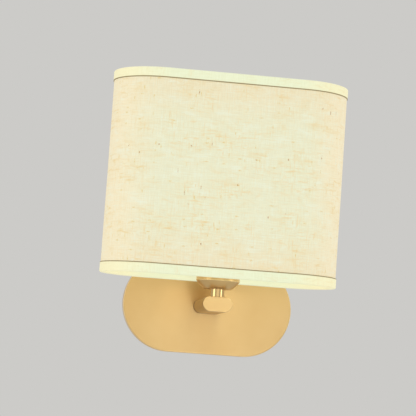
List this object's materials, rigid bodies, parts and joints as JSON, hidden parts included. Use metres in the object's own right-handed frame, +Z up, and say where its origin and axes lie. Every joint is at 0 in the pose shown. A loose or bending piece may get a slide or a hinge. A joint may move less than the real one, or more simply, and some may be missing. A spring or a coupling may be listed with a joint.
{
  "type": "wall light",
  "caption": "Wall light with an oval linen drum shade on a stub arm from a slim stadium-shaped brass wall plate, with lamp holder and globe bulb.",
  "frame": {"origin": "centre of the wall plate on the wall, midway between the two wall slots", "axes": "+Z up, +Y into the wall, the light stands out along -Y, +X to the right as seen from the front"},
  "size_m": [0.2, 0.1103, 0.2312],
  "materials": {
    "satin_brass": "satin, fine brushed and lacquered",
    "plain_brass": "bare turned brass",
    "zinc_steel": "zinc plated",
    "terminal_plastic": "moulded, off-white",
    "holder_plastic": "moulded, white",
    "core_plastic": "moulded, ivory",
    "brown_insulation": "smooth insulation",
    "blue_insulation": "smooth insulation",
    "earth_insulation": "smooth insulation, yellow stripe",
    "linen": "plain weave with slubs",
    "liner_film": "stiff white film",
    "trim_linen": "folded tape of the same cloth",
    "white_wire": "white powder coat",
    "bulb_nickel": "nickel plated",
    "black_insulator": "dark glass",
    "bulb_plastic": "smooth white",
    "opal_globe": "opal, lit warm",
    "board_aluminium": "white coated metal board",
    "led_yellow": "phosphor",
    "driver_green": "circuit board"
  },
  "bodies": {
    "root": {"wall_bracket": "zinc_steel", "bracket_earth_screw": "zinc_steel", "wall_plate": "satin_brass", "plate_screws": "satin_brass", "terminal_block": "terminal_plastic", "terminal_poles": "plain_brass", "terminal_clamp_screws": "zinc_steel", "terminal_fixing_screw": "zinc_steel", "arm_nipple": "zinc_steel", "arm_nut": "zinc_steel", "lock_washer": "zinc_steel", "earth_tag": "plain_brass", "arm_tube": "satin_brass", "arm_rear_plug": "satin_brass", "arm_front_cap": "satin_brass", "arm_locating_pins": "zinc_steel", "post_tube": "zinc_steel", "post_sleeve": "satin_brass", "holder_cup": "satin_brass", "cup_nut": "zinc_steel", "holder_cap": "holder_plastic", "holder_body": "holder_plastic", "holder_insert": "core_plastic", "holder_terminals": "plain_brass", "holder_terminal_screws": "zinc_steel", "socket_shell": "plain_brass", "centre_contact": "plain_brass", "live_wire": "brown_insulation", "neutral_wire": "blue_insulation", "earth_wire": "earth_insulation"},
    "shade": {"shade_cover": "linen", "shade_liner": "liner_film", "top_band": "trim_linen", "bottom_band": "trim_linen", "top_ring_wire": "white_wire", "bottom_ring_wire": "white_wire", "fitter_ring": "white_wire", "spider_arm_right": "white_wire", "spider_arm_back": "white_wire", "spider_arm_left": "white_wire", "spider_arm_front": "white_wire"},
    "shade_clamp": {"shade_ring": "holder_plastic"},
    "bulb": {"bulb_contact": "bulb_nickel", "bulb_insulator": "black_insulator", "bulb_cap": "bulb_nickel", "bulb_housing": "bulb_plastic", "bulb_globe": "opal_globe", "led_board": "board_aluminium", "led_chips": "led_yellow", "led_driver": "driver_green"}
  },
  "joints": [
    {"name": "shade_turn", "type": "hinge", "parent": "root", "child": "shade", "pos_m": [0, -0.0678, 0.0355], "axis": [0, 0, 1], "range_deg": [-14, 14]},
    {"name": "shade_ring_turn", "type": "hinge", "parent": "root", "child": "shade_clamp", "pos_m": [0, -0.0678, 0.04], "axis": [0, 0, 1], "range_deg": [0, 1080]},
    {"name": "bulb_turn", "type": "hinge", "parent": "root", "child": "bulb", "pos_m": [0, -0.0678, 0.06], "axis": [0, 0, 1], "range_deg": [0, 1080]}
  ]
}
